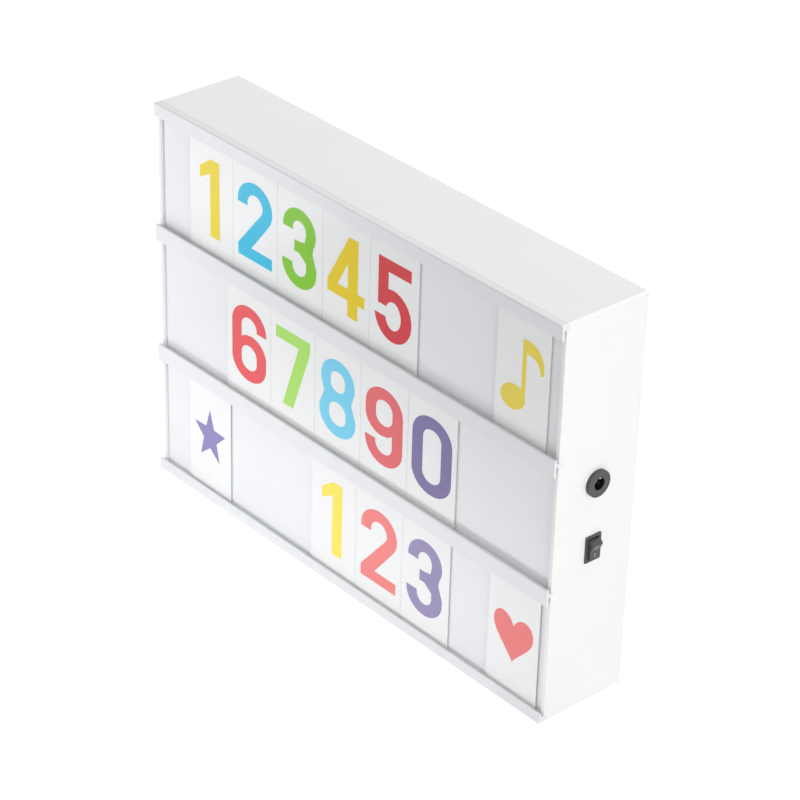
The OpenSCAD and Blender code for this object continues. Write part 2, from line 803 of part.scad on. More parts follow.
module dc_jack_lugs() {
  color(metal)
  for (s = [-1, 1])
    translate([jack_back - pin_tail, s * lug_dy - lug_t / 2, jack_z - lug_w / 2])
      cube([pin_tail, lug_t, lug_w]);
}

// ---- Wires ----

wire_sides = 8;

function unit(v) = v / norm(v);

// The direction of a wire at point i of its route p
function heading(p, i) =
  i == 0 ? unit(p[1] - p[0])
  : i == len(p) - 1 ? unit(p[i] - p[i - 1])
  : unit(unit(p[i] - p[i - 1]) + unit(p[i + 1] - p[i]));

// One direction across the wire at each point, turned as little as it can be from v
function across(p, i, v) =
  i == len(p) ? []
  : let (t = heading(p, i), u = unit(v - (v * t) * t)) concat([u], across(p, i + 1, u));

function wire_ring(c, t, u) =
  [for (k = [0:wire_sides - 1])
    c + wire_r * (cos(360 * k / wire_sides) * u + sin(360 * k / wire_sides) * cross(t, u))];

// A round wire swept along its route p, which starts along X
module wire(p) {
  n = wire_sides;
  last = len(p) - 1;
  us = across(p, 0, [0, 0, 1]);
  polyhedron(
    points = [for (i = [0:last]) each wire_ring(p[i], heading(p, i), us[i])],
    faces = concat(
      [[for (k = [0:n - 1]) k]],
      [for (i = [0:last - 1]) for (k = [0:n - 1]) for (tri = [[0, 2, 3], [0, 3, 1]])
        [for (c = tri) (i + floor(c / 2)) * n + (k + c % 2) % n]],
      [[for (k = [n - 1:-1:0]) last * n + k]]));
}

tail_end = bay_w / 2 + bay_wall + tail_l;
tail_z = bay_z + contact_t / 2;
bar_end = bar_l / 2;
bar_mid = bar_back - bar_t / 2;
bar_low_mid = bay_front - bar_t / 2;
blade_end = switch_back - terminal_l;
pin_end = jack_back - pin_tail;
pair = wire_r + 0.1;
// The lane of the wires that run up to the switch, behind its terminals
riser_x = blade_end - wire_out - lane_near;
lower_blade = switch_z - terminal_dz;
upper_blade = switch_z + terminal_dz;
// Where the wires to the middle bar's right end leave their lane
bar_lane_y = bar_mid - 4;
// Where two wires on one bar's end lie above and below its middle
bar_pad = bar_h / 4;

module wire_battery_plus() {
  color("#b3261e")
  wire([[tail_end, cell_y, tail_z], [tail_end + wire_out, cell_y, tail_z],
        [tail_end + 4 * wire_out, cell_y - wire_out, wire_low],
        [(tail_end + riser_x) / 2, cell_y / 2, wire_low - 1],
        [riser_x - 2 * wire_out, cell_y / 4, wire_low + 1],
        [riser_x, pair, wire_low + 5 * wire_out], [riser_x, -pair, lower_blade - 10 * wire_out],
        [riser_x, -pair, lower_blade - 3 * wire_out],
        [blade_end - wire_out, -pair, lower_blade], [blade_end, -pair, lower_blade]]);
}

module wire_battery_minus() {
  color("#1c1c1e")
  wire([[-tail_end, cell_y, tail_z], [-tail_end - wire_out, cell_y, tail_z],
        [-tail_end - 4 * wire_out, cell_y - wire_out, wire_low],
        [-(tail_end + bar_end) / 2, cell_y / 2, wire_low],
        [-bar_end + 2 * wire_out, bar_low_mid, wire_low + lane_turn],
        [-bar_end - lane_near, bar_low_mid, bar_lower_z - bar_pad - 2 * lane_turn],
        [-bar_end - wire_out, bar_low_mid, bar_lower_z - bar_pad],
        [-bar_end, bar_low_mid, bar_lower_z - bar_pad]]);
}

module wire_jack_plus() {
  color("#b3261e")
  wire([[pin_end, 0, jack_z], [pin_end - wire_out, 0, jack_z],
        [riser_x, pair / 2, jack_z - 2 * wire_out], [riser_x, pair, upper_blade + wire_out],
        [riser_x, pair, upper_blade - wire_out],
        [blade_end - wire_out, pair, lower_blade], [blade_end, pair, lower_blade]]);
}

module wire_jack_minus() {
  color("#1c1c1e")
  wire([[pin_end, lug_dy, jack_z], [pin_end - wire_out, lug_dy, jack_z],
        [bar_end + wire_out, lug_dy + lane_near, jack_z - wire_out],
        [bar_end + lane_near, bar_lane_y, bar_middle_z + bar_pad + 2 * lane_turn],
        [bar_end + wire_out, bar_mid, bar_middle_z + bar_pad],
        [bar_end, bar_mid, bar_middle_z + bar_pad]]);
}

module wire_switched() {
  color("#b3261e")
  wire([[blade_end, 0, upper_blade], [blade_end - wire_out, 0, upper_blade],
        [blade_end - wire_out - 2, lane_near, upper_blade + wire_out],
        [bar_end + lane_near, bar_lane_y, bar_middle_z - bar_pad - 1.5 * lane_turn],
        [bar_end + wire_out, bar_mid, bar_middle_z - bar_pad],
        [bar_end, bar_mid, bar_middle_z - bar_pad]]);
}

// A wire down from the left end of one bar, at y1 and z1, to that of the next, at y2 and z2
module bar_link(y1, z1, y2, z2, lane) {
  wire([[-bar_end, y1, z1], [-bar_end - lane + 2, y1, z1],
        [-bar_end - lane, y1 - 1, z1 - lane_turn], [-bar_end - lane, y2 - 1, z2 + lane_turn],
        [-bar_end - lane + 2, y2, z2], [-bar_end, y2, z2]]);
}

module wire_bar_links() {
  color("#1c1c1e")
  for (link = [[lane_near, 0.4 * bar_h], [lane_far, 0.15 * bar_h]]) {
    bar_link(bar_mid, bar_upper_z - link[1], bar_mid, bar_middle_z + link[1], link[0]);
    bar_link(bar_mid, bar_middle_z - link[1], bar_low_mid, bar_lower_z + link[1], link[0]);
  }
}

housing();
back_cover();
front_panel();
rail_top();
rail_upper();
rail_lower();
rail_bottom();
word_card(word_top_x, row_3_z, 1);  // card_top_1
word_card(word_top_x, row_3_z, 2);  // card_top_2
word_card(word_top_x, row_3_z, 3);  // card_top_3
word_card(word_top_x, row_3_z, 4);  // card_top_4
word_card(word_top_x, row_3_z, 5);  // card_top_5
card(note_x, row_3_z);  // card_note
word_card(word_middle_x, row_2_z, 1);  // card_middle_1
word_card(word_middle_x, row_2_z, 2);  // card_middle_2
word_card(word_middle_x, row_2_z, 3);  // card_middle_3
word_card(word_middle_x, row_2_z, 4);  // card_middle_4
word_card(word_middle_x, row_2_z, 5);  // card_middle_5
card(star_x, row_1_z);  // card_star
word_card(word_bottom_x, row_1_z, 1);  // card_bottom_1
word_card(word_bottom_x, row_1_z, 2);  // card_bottom_2
word_card(word_bottom_x, row_1_z, 3);  // card_bottom_3
card(heart_x, row_1_z);  // card_heart
switch_body();
switch_rocker();
switch_terminals();
dc_jack_body();
dc_jack_pin();
dc_jack_nut();
dc_jack_lugs();
battery_door();
cell(1);  // battery_cell_1
cell(2);  // battery_cell_2
cell(3);  // battery_cell_3
cell(4);  // battery_cell_4
cell(5);  // battery_cell_5
cell(6);  // battery_cell_6
battery_contacts_upper();
battery_contacts_lower();
light_bar_upper();
light_bar_middle();
light_bar_lower();
lamps_upper();
lamps_middle();
lamps_lower();
resistors();
case_screws();
bar_screws();
wire_battery_plus();
wire_battery_minus();
wire_jack_plus();
wire_jack_minus();
wire_switched();
wire_bar_links();
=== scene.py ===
"""The looks of a cinema light box with letter cards.

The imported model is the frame. Its nodes keep their shapes and get their finishes here, and
the prints, marks and small springs made here sit on its nodes and ride on their bodies.
Lengths are metres, unless a comment says millimetres.
"""

import json
import math

import bmesh
import bpy
from mathutils import Matrix, Vector


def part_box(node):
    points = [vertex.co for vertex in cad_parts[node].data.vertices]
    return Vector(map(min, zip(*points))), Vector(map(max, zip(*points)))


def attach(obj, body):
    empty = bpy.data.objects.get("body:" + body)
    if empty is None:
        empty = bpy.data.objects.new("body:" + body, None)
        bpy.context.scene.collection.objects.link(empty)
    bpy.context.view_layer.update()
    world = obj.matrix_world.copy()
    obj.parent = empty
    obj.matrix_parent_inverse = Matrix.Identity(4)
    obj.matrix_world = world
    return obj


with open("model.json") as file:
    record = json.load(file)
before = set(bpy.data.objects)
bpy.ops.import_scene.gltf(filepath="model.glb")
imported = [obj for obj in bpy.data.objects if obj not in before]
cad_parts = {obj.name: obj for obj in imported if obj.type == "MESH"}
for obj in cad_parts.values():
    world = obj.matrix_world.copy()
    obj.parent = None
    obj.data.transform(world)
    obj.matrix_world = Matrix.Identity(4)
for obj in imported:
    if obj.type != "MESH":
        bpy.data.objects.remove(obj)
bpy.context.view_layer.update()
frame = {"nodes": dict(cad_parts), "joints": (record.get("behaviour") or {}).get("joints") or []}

MM = 0.001
X_AXIS = Vector((1, 0, 0))
Y_AXIS = Vector((0, 1, 0))
Z_AXIS = Vector((0, 0, 1))


def middle(node):
    """The middle of a node's box."""
    low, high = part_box(node)
    return (low + high) / 2


# ---- Camera: the photograph's viewing angle ----

CAMERA_AZIMUTH = 48.114
CAMERA_ELEVATION = 30.526
CAMERA_ROLL = 1.654
CAMERA_DISTANCE = 1.4562
CAMERA_AIM = Vector((0, 0, 0.109))
# Where the aim shows, to the right of the picture's middle and above it
CAMERA_SIDEWAYS = -0.00786
CAMERA_UPWARD = 0.00684
# Millimetres
CAMERA_LENS = 131.33
CAMERA_SENSOR = 36


def make_camera():
    """The camera looks at the aim from the azimuth, where 0 is the front, and the elevation."""
    around, above, roll = (math.radians(a) for a in (CAMERA_AZIMUTH, CAMERA_ELEVATION, CAMERA_ROLL))
    back = Vector((math.sin(around) * math.cos(above), -math.cos(around) * math.cos(above),
                   math.sin(above)))
    level = Vector((math.cos(around), math.sin(around), 0))
    upright = back.cross(level)
    right = level * math.cos(roll) + upright * math.sin(roll)
    up = upright * math.cos(roll) - level * math.sin(roll)
    turned = Matrix((right, up, back)).transposed().to_4x4()
    place = CAMERA_AIM - CAMERA_SIDEWAYS * right - CAMERA_UPWARD * up + CAMERA_DISTANCE * back
    data = bpy.data.cameras.new("camera")
    data.sensor_width = CAMERA_SENSOR
    data.lens = CAMERA_LENS
    data.clip_start = 0.05
    camera = bpy.data.objects.new("camera", data)
    camera.matrix_world = Matrix.Translation(place) @ turned
    bpy.context.scene.collection.objects.link(camera)
    bpy.context.scene.camera = camera


# ---- Shader nodes ----


def set_inputs(tree, made, inputs):
    """Links each input that is given a socket, and sets the others to their values."""
    for name, value in inputs.items():
        if isinstance(value, bpy.types.NodeSocket):
            tree.links.new(value, made.inputs[name])
        else:
            made.inputs[name].default_value = value


def add(tree, kind, inputs=None, **settings):
    """A new shader node, with its settings and its inputs."""
    made = tree.nodes.new("ShaderNode" + kind)
    for name, value in settings.items():
        setattr(made, name, value)
    set_inputs(tree, made, inputs or {})
    return made


def new_material(name):
    made = bpy.data.materials.new(name)
    made.use_nodes = True
    return made, made.node_tree, made.node_tree.nodes["Principled BSDF"]


def rgba(colour):
    return (*colour, 1)


def shade(colour, factor):
    return tuple(c * factor for c in colour)


def object_place(tree):
    return add(tree, "TexCoord").outputs["Object"]


def object_axes(tree):
    """The X, Y and Z of a place on the object."""
    return add(tree, "SeparateXYZ", {"Vector": object_place(tree)}).outputs


def noise(tree, size, detail=2, stretch=None):
    """Noise with features of about the given size, which can be stretched along the axes."""
    place = object_place(tree)
    if stretch:
        place = add(tree, "Mapping", {"Vector": place, "Scale": stretch}).outputs["Vector"]
    made = add(tree, "TexNoise", {"Vector": place, "Scale": 1 / size, "Detail": detail})
    return made.outputs["Fac"]


def ramp(tree, value, low, high, out_low=0.0, out_high=1.0):
    """0 to 1, or the out values, as the value goes from low to high."""
    made = add(tree, "MapRange", {"Value": value, "From Min": low, "From Max": high,
                                  "To Min": out_low, "To Max": out_high})
    return made.outputs["Result"]


def calculate(tree, operation, first, second=0.0):
    return add(tree, "Math", {0: first, 1: second}, operation=operation).outputs["Value"]


def all_of(tree, *values):
    """1 where every value is 1."""
    total = values[0]
    for value in values[1:]:
        total = calculate(tree, "MULTIPLY", total, value)
    return total


def sideways(tree):
    """1 on faces that look straight to the left or right, 0 on those that don't at all."""
    normal = add(tree, "TexCoord").outputs["Normal"]
    across = add(tree, "SeparateXYZ", {"Vector": normal}).outputs["X"]
    return calculate(tree, "ABSOLUTE", across)


def mix(tree, factor, first, second):
    """The first colour where the factor is 0, and the second where it is 1."""
    made = add(tree, "Mix", {"Factor": factor}, data_type="RGBA")
    set_inputs(tree, made, {"A": first, "B": second})
    return made.outputs["Result"]


def bump(tree, height, depth, strength, normal=None):
    inputs = {"Height": height, "Distance": depth, "Strength": strength}
    if normal is not None:
        inputs["Normal"] = normal
    return add(tree, "Bump", inputs).outputs["Normal"]


def drift(tree, size, low, high):
    """A value that drifts between low and high, with features of about the given size."""
    return ramp(tree, noise(tree, size), 0.3, 0.7, low, high)


def varied(tree, colour, amount, size):
    """The colour, a little darker in soft patches and in finer specks."""
    patches = mix(tree, ramp(tree, noise(tree, size, 1), 0.2, 0.8), rgba(colour),
                  rgba(shade(colour, 1 - amount)))
    specks = ramp(tree, noise(tree, size / 60, 3), 0.2, 0.9, 0, 0.6)
    return mix(tree, specks, patches, rgba(shade(colour, 1 - 1.5 * amount)))


# ---- Finishes ----

DARK_GREY = (0.062, 0.066, 0.072)
# The width over which a region of another colour fades out
SOFT_STEP = 0.1 * MM
RAIL_LIP_THICKNESS = 1.4 * MM
SOCKET_RADIUS = 3.2 * MM
# How far from a light bar's middle line its bare strips begin
BOARD_COAT_HALF = 3 * MM
# From a cell's positive end to the foot of its tip, and to the end of its golden band
CELL_TIP = 1.6 * MM
CELL_BAND_END = 13 * MM


def moulded_plastic(name, colour, roughness, grain, depth, edge=0.0, patch=50 * MM, change=0.02):
    """Plastic with a fine moulded grain. Edges look rounded by the edge radius."""
    made, tree, surface = new_material(name)
    rounded = add(tree, "Bevel", {"Radius": edge}, samples=4).outputs["Normal"] if edge else None
    set_inputs(tree, surface, {
        "Base Color": varied(tree, colour, change, patch),
        "Roughness": ramp(tree, noise(tree, patch / 3, 1), 0.2, 0.8,
                          roughness - 0.02, roughness + 0.03),
        "Normal": bump(tree, noise(tree, grain, 3), depth, 0.6, rounded),
    })
    return made


def dark_plastic(name):
    """The grained plastic of the switch and the inlet."""
    return moulded_plastic(name, DARK_GREY, 0.48, 0.3 * MM, 0.03 * MM, edge=0.2 * MM,
                           patch=6 * MM, change=0.12)


def recolour(material, where, colour):
    """Gives a finished material another colour where the value is 1."""
    tree = material.node_tree
    surface = tree.nodes["Principled BSDF"]
    before = surface.inputs["Base Color"].links[0].from_socket
    set_inputs(tree, surface, {"Base Color": mix(tree, where, before, rgba(colour))})


def rail_plastic():
    """Smooth plastic with painted light: it is painted paler in the grooves behind the lips, where
    shade falls.

    The top rail, whose only groove opens downward, keeps the plain colour.
    """
    made = moulded_plastic("rail_plastic", (0.80, 0.805, 0.82), 0.3, 0.8 * MM, 0.01 * MM,
                           edge=0.5 * MM)
    tree = made.node_tree
    low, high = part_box("rail_upper")
    lip_back = low.y + RAIL_LIP_THICKNESS
    axes = object_axes(tree)
    painted_light_behind_lip = ramp(tree, axes["Y"], lip_back - SOFT_STEP, lip_back)
    below_top_rail = ramp(tree, axes["Z"], high.z + SOFT_STEP, high.z)
    no_end = ramp(tree, sideways(tree), 0.5, 0.3)
    # Painted light: the groove faces behind the lips, below the top rail and away from the ends,
    # are painted paler to lift their shade.
    recolour(made, all_of(tree, painted_light_behind_lip, below_top_rail, no_end), (0.95, 0.95, 0.96))
    return made


def inlet_plastic():
    """Dark plastic, with painted shade: nearly black in the socket about the inlet's axis."""
    made = dark_plastic("inlet_plastic")
    tree = made.node_tree
    axes = object_axes(tree)
    rise = calculate(tree, "SUBTRACT", axes["Z"], middle("dc_jack_pin").z)
    flat = add(tree, "CombineXYZ", {"X": axes["Y"], "Y": rise}).outputs["Vector"]
    reach = add(tree, "VectorMath", {0: flat}, operation="LENGTH").outputs["Value"]
    inside = ramp(tree, reach, SOCKET_RADIUS + SOFT_STEP, SOCKET_RADIUS)
    # Painted shade: the socket about the axis is painted nearly black.
    recolour(made, inside, (0.006, 0.006, 0.007))
    return made


def opal_plastic():
    """The front panel: milky, even, with a soft sheen."""
    made, tree, surface = new_material("opal_panel")
    set_inputs(tree, surface, {
        "Base Color": varied(tree, (0.82, 0.828, 0.845), 0.012, 80 * MM),
        "Roughness": drift(tree, 30 * MM, 0.32, 0.4),
        "Normal": bump(tree, noise(tree, 0.8 * MM), 0.01 * MM, 0.4),
        "Subsurface Weight": 0.15,
        "Subsurface Radius": (2 * MM, 2 * MM, 2 * MM),
        "Subsurface Scale": 1,
    })
    return made


def card_film():
    """The cards: glossy whitish film, slightly wavy, with cut edges painted darker: partly the film
    edge's own greenish tint, partly painted shade.
    """
    made, tree, surface = new_material("card_film")
    faces = varied(tree, (0.87, 0.872, 0.865), 0.01, 50 * MM)
    # Partly painted shade: the side faces are darker, partly from the cut film's own tint and
    # partly as the shade of the gap beside each card.
    cut = ramp(tree, sideways(tree), 0.6, 0.8)
    waves = bump(tree, noise(tree, 45 * MM, 1), 0.6 * MM, 0.35)
    set_inputs(tree, surface, {
        "Base Color": mix(tree, cut, faces, rgba((0.66, 0.68, 0.62))),
        "Roughness": drift(tree, 20 * MM, 0.14, 0.2),
        "Normal": bump(tree, noise(tree, 1.2 * MM), 0.008 * MM, 0.4, waves),
        "Specular IOR Level": 0.4,
    })
    return made


def plated_metal(name, colour, roughness, stretch):
    """Rolled or turned metal with fine streaks along the given stretch."""
    made, tree, surface = new_material(name)
    streaks = noise(tree, 0.6 * MM, 3, stretch)
    set_inputs(tree, surface, {
        "Base Color": mix(tree, ramp(tree, streaks, 0.35, 0.65), rgba(colour),
                          rgba(shade(colour, 0.86))),
        "Roughness": ramp(tree, streaks, 0.3, 0.7, roughness - 0.06, roughness + 0.1),
        "Normal": bump(tree, streaks, 0.01 * MM, 0.5),
        "Metallic": 1,
    })
    return made


def cell_sleeve(name, band_low, band_high):
    """A wrapped cell: a grey sleeve with a golden band between two heights."""
    made, tree, surface = new_material(name)
    height = object_axes(tree)["Z"]
    band = all_of(tree, calculate(tree, "GREATER_THAN", height, band_low),
                  calculate(tree, "LESS_THAN", height, band_high))
    sleeve = varied(tree, (0.10, 0.11, 0.12), 0.06, 10 * MM)
    set_inputs(tree, surface, {
        "Base Color": mix(tree, band, sleeve, rgba((0.62, 0.43, 0.17))),
        "Roughness": drift(tree, 4 * MM, 0.28, 0.38),
        "Metallic": 0.35,
    })
    return made


def circuit_board():
    """White coated board with a faint bare strip along both of its long edges."""
    made, tree, surface = new_material("board")
    # The three bars stand one pitch apart, so a height's remainder is the same on each
    lowest = middle("light_bar_lower").z
    pitch = middle("light_bar_middle").z - lowest
    rise = calculate(tree, "MODULO", object_axes(tree)["Z"], pitch)
    away = calculate(tree, "ABSOLUTE", calculate(tree, "SUBTRACT", rise, lowest))
    coated = ramp(tree, away, BOARD_COAT_HALF + SOFT_STEP, BOARD_COAT_HALF - SOFT_STEP)
    coat = varied(tree, (0.80, 0.83, 0.79), 0.02, 20 * MM)
    set_inputs(tree, surface, {
        "Base Color": mix(tree, coated, rgba((0.66, 0.74, 0.66)), coat),
        "Roughness": drift(tree, 5 * MM, 0.35, 0.5),
        "Normal": bump(tree, coated, 0.03 * MM, 0.5),
    })
    return made


def print_ink(name, colour):
    """Ink on film: even, glossy, with a trace of the film's texture."""
    made, tree, surface = new_material(name)
    set_inputs(tree, surface, {
        "Base Color": varied(tree, colour, 0.03, 20 * MM),
        "Roughness": drift(tree, 10 * MM, 0.2, 0.25),
        "Normal": bump(tree, noise(tree, 0.9 * MM), 0.008 * MM, 0.4),
        "Specular IOR Level": 0.2,
    })
    return made


def make_finishes():
    """The finishes of the record's slots, except the cells', and of nodes with their own."""
    along_x = (0.05, 1, 1)
    along_y = (1, 0.2, 1)
    return {
        "white_plastic": moulded_plastic("white_plastic", (0.88, 0.88, 0.875), 0.42, 0.6 * MM,
                                         0.02 * MM, edge=0.4 * MM),
        "rail_plastic": rail_plastic(),
        "dark_plastic": dark_plastic("dark_plastic"),
        "inlet_plastic": inlet_plastic(),
        # Painted shade: the pin deep in the socket is given nearly black metal.
        "pin_metal_painted_shade": plated_metal("pin_metal_painted_shade", (0.006, 0.006, 0.006), 0.5, along_x),
        "opal_panel": opal_plastic(),
        "card_film": card_film(),
        "contact_metal": plated_metal("contact_metal", (0.72, 0.73, 0.74), 0.16, along_x),
        "screw_steel": plated_metal("screw_steel", (0.58, 0.59, 0.61), 0.35, along_y),
        "board": circuit_board(),
        "lamp_plastic": moulded_plastic("lamp_plastic", (0.86, 0.76, 0.30), 0.3, 0.4 * MM,
                                        0.01 * MM, patch=3 * MM, change=0.05),
        "resistor_black": moulded_plastic("resistor_black", (0.02, 0.02, 0.022), 0.5, 0.3 * MM,
                                          0.01 * MM, patch=2 * MM, change=0.2),
        "wire_red": moulded_plastic("wire_red", (0.55, 0.03, 0.02), 0.35, 0.4 * MM, 0.01 * MM,
                                    patch=10 * MM, change=0.08),
        "wire_black": moulded_plastic("wire_black", (0.025, 0.025, 0.028), 0.38, 0.4 * MM,
                                      0.01 * MM, patch=10 * MM, change=0.15),
    }


def cell_material(name):
    """A cell's band lies at its positive end, which is up for odd cells and down for even."""
    number = name.removeprefix("battery_cell_")
    low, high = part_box(name)
    if int(number) % 2:
        band = (high.z - CELL_BAND_END, high.z - CELL_TIP)
    else:
        band = (low.z + CELL_TIP, low.z + CELL_BAND_END)
    return cell_sleeve("sleeve_" + number, *band)


def dress_nodes(finishes):
    """Gives every node its slot's finish, or its own if it has one."""
    own_finishes = {"dc_jack_body": "inlet_plastic", "dc_jack_pin": "pin_metal_painted_shade"}
    for name, piece in frame["nodes"].items():
        for slot in piece.material_slots:
            if slot.name == "cell_metal":
                slot.material = cell_material(name)
            elif name.startswith("rail_"):
                slot.material = finishes["rail_plastic"]
            else:
                slot.material = finishes[own_finishes.get(name, slot.name)]


# ---- Outlines, in millimetres ----


def arc(cx, cz, rx, rz, start, end, tilt=0, steps=20):
    """Points on an ellipse's arc from the start angle to the end angle, in degrees."""
    lean = math.radians(tilt)
    points = []
    for i in range(steps + 1):
        angle = math.radians(start + (end - start) * i / steps)
        x, z = rx * math.cos(angle), rz * math.sin(angle)
        points.append((cx + x * math.cos(lean) - z * math.sin(lean),
                       cz + x * math.sin(lean) + z * math.cos(lean)))
    return points


def curve(start, pull_1, pull_2, end, steps=16):
    """Points on a cubic curve, without its start."""
    points = []
    for i in range(1, steps + 1):
        t = i / steps
        weights = ((1 - t) ** 3, 3 * t * (1 - t) ** 2, 3 * t * t * (1 - t), t ** 3)
        corners = (start, pull_1, pull_2, end)
        points.append(tuple(sum(w * c[k] for w, c in zip(weights, corners)) for k in (0, 1)))
    return points


def round_box(x0, z0, x1, z1, r):
    """A box with round corners, which start at the lower right one."""
    corners = ((x1 - r, z0 + r), (x1 - r, z1 - r), (x0 + r, z1 - r), (x0 + r, z0 + r))
    points = []
    for quarter, (x, z) in enumerate(corners, start=-1):
        points += arc(x, z, r, r, 90 * quarter, 90 * quarter + 90, steps=10)
    return points


DIGIT_W = 26
DIGIT_H = 45


def turned_round(loops):
    return [[(DIGIT_W - x, DIGIT_H - z) for x, z in loop] for loop in loops]


def digit_loops():
    """Each digit's outline and holes, drawn in a box 26 wide and 45 high."""
    six = [[(25.6, 31.6), *arc(13, 32.6, 12.6, 12.4, 0, 180), *arc(13, 12.4, 12.6, 12.4, 180, 360),
            (25.6, 17.5), *arc(14.6, 17.2, 11, 10.8, 0, 90), (10.5, 27.2), (7.4, 25.2),
            *arc(13, 32.6, 5.6, 5.6, 180, 0), (18.6, 31.6)],
           round_box(7.4, 6.8, 18.6, 21.4, 5.4)]
    return {
        0: [round_box(0, 0, 26, 45, 12.5), round_box(7, 7, 19, 38, 5.8)],
        1: [[(12, 0), (19, 0), (19, 45), (12.5, 45), (4.5, 38.5), (4.5, 31.5), (12, 36.5)]],
        2: [[(0.8, 0), (25.2, 0), (25.2, 6.8), (10.4, 6.8), (23.15, 25),
             *arc(13, 32.3, 12.4, 12.7, -36, 180), (0.6, 30.5), (7.6, 30.5),
             *arc(13, 32.3, 5.4, 5.9, 180, -30), (0.8, 6.4)]],
        3: [[*arc(12.6, 12.4, 12, 12.4, 180, 360), (24.6, 15), (21.8, 23.2),
             *arc(12.6, 33, 11.4, 12, -30, 180), (1.2, 31.8), (8.2, 31.8),
             *arc(12.6, 33, 4.6, 5.2, 180, 0), (17.2, 31.5), (16.4, 27.4), (12.5, 26.6),
             (9.2, 26.6), (9.2, 20.1), (12.6, 20.1), (17.4, 16),
             *arc(12.6, 12.4, 4.9, 5.6, 0, -180), (7.7, 13.2), (0.6, 13.2)]],
        4: [[(14.2, 0), (21, 0), (21, 9), (25.5, 9), (25.5, 15.5), (21, 15.5), (21, 45),
             (14.8, 45), (0.5, 15.8), (0.5, 9), (14.2, 9)],
            [(14.2, 15.5), (7.4, 15.5), (14.2, 29.8)]],
        5: [[(2.6, 45), (24, 45), (24, 38.2), (9.2, 38.2), (9.2, 28.6),
             *arc(12.6, 14.6, 12.2, 14.6, 106, -172), (7.5, 12.6),
             *arc(12.6, 14.6, 5.2, 7.9, -165, 150), (8.1, 18.5), (2.6, 18.5)]],
        6: six,
        7: [[(0.8, 45), (25.2, 45), (25.2, 38.4), (13.4, 0), (6, 0), (17.2, 38), (0.8, 38)]],
        8: [[*arc(13, 12.2, 12.6, 12.2, 180, 360), (25.6, 14.5), (22.4, 23), (24.6, 30.6),
             *arc(13, 33.2, 11.6, 11.8, 0, 180), (1.4, 30.6), (3.6, 23), (0.4, 14.5)],
            round_box(7.2, 6.8, 18.8, 20.2, 5.4), round_box(8, 26.4, 18, 38.4, 4.8)],
        9: turned_round(six),
    }


def star_loops():
    """A five-pointed star, a little narrower than high, about its middle."""
    middle_x, middle_z, wide, high, inner = -0.1, 21.9, 13.5, 16.5, 0.42
    points = []
    for i in range(10):
        angle = math.radians(90 + 36 * i)
        reach = inner if i % 2 else 1
        points.append((middle_x + wide * reach * math.cos(angle),
                       middle_z + high * reach * math.sin(angle)))
    return [points]


def heart_loops():
    """A heart that stands on its tip."""
    tip, notch = (0, 7.3), (0, 27.8)
    top, side = (7.6, 33.7), (13.7, 26.5)
    right = [*curve(tip, (5.2, 14.5), (13.7, 19.9), side),
             *curve(side, (13.7, 30.5), (11.4, 33.7), top),
             *curve(top, (5, 33.7), (1.6, 31.9), notch)]
    left = [(-x, z) for x, z in reversed(right[:-1])]
    return [[tip, *right, *left]]


def note_loops():
    """A quaver: an oval head, its stem and one flag, as one outline."""
    stem_left, stem_right, top = -0.4, 2.3, 41.6
    flag_end, flag_inside = (13.9, 29.2), (11.7, 27.4)
    return [[(stem_left, top), *curve((stem_left, top), (7.9, 42.9), (14.2, 38.6), flag_end),
             *curve(flag_end, (13.9, 27.0), (11.8, 26.8), flag_inside, steps=6),
             *curve(flag_inside, (11.2, 33.4), (6.9, 34.7), (stem_right, 34.9)),
             *arc(-5.6, 9.0, 8.3, 6.6, -8, -324, tilt=18, steps=36)]]


# ---- Pieces ----


def add_piece(name, shape, material):
    """A new object with the shape's mesh, its faces turned outward. The shape is used up."""
    bmesh.ops.recalc_face_normals(shape, faces=shape.faces)
    mesh = bpy.data.meshes.new(name)
    shape.to_mesh(mesh)
    shape.free()
    mesh.materials.append(material)
    piece = bpy.data.objects.new(name, mesh)
    bpy.context.scene.collection.objects.link(piece)
    return piece


def plate(name, loops, origin, along, up, thickness, material):
    """A thin solid with the outline of the loops, in millimetres of along and of up."""
    outward = along.cross(up)
    shape = bmesh.new()
    edges = []
    for loop in loops:
        corners = [shape.verts.new(origin + along * x * MM + up * z * MM) for x, z in loop]
        edges += [shape.edges.new(pair) for pair in zip(corners, corners[1:] + corners[:1])]
    filled = bmesh.ops.triangle_fill(shape, edges=edges, use_beauty=True)["geom"]
    faces = [part for part in filled if isinstance(part, bmesh.types.BMFace)]
    raised = bmesh.ops.extrude_face_region(shape, geom=faces)["geom"]
    lifted = [part for part in raised if isinstance(part, bmesh.types.BMVert)]
    bmesh.ops.translate(shape, verts=lifted, vec=outward * thickness)
    return add_piece(name, shape, material)


# From a card's lower edge to the foot of its print
PRINT_BASE = 11.05 * MM
PRINT_THICKNESS = 0.08 * MM
PRINT_SUNK = 0.02 * MM
DIGIT_SCALE_X = 1.1
DIGIT_SCALE_Z = 0.965

INKS = {
    "card_top_1": (0.88, 0.70, 0.02), "card_top_2": (0.03, 0.54, 0.80),
    "card_top_3": (0.23, 0.60, 0.02), "card_top_4": (0.84, 0.63, 0.01),
    "card_top_5": (0.69, 0.05, 0.06), "card_note": (0.86, 0.70, 0.09),
    "card_middle_1": (0.84, 0.11, 0.12), "card_middle_2": (0.43, 0.77, 0.15),
    "card_middle_3": (0.20, 0.65, 0.87), "card_middle_4": (0.80, 0.16, 0.17),
    "card_middle_5": (0.23, 0.19, 0.39), "card_star": (0.29, 0.24, 0.49),
    "card_bottom_1": (0.94, 0.79, 0.12), "card_bottom_2": (0.89, 0.25, 0.24),
    "card_bottom_3": (0.33, 0.28, 0.48), "card_heart": (0.85, 0.23, 0.22),
}


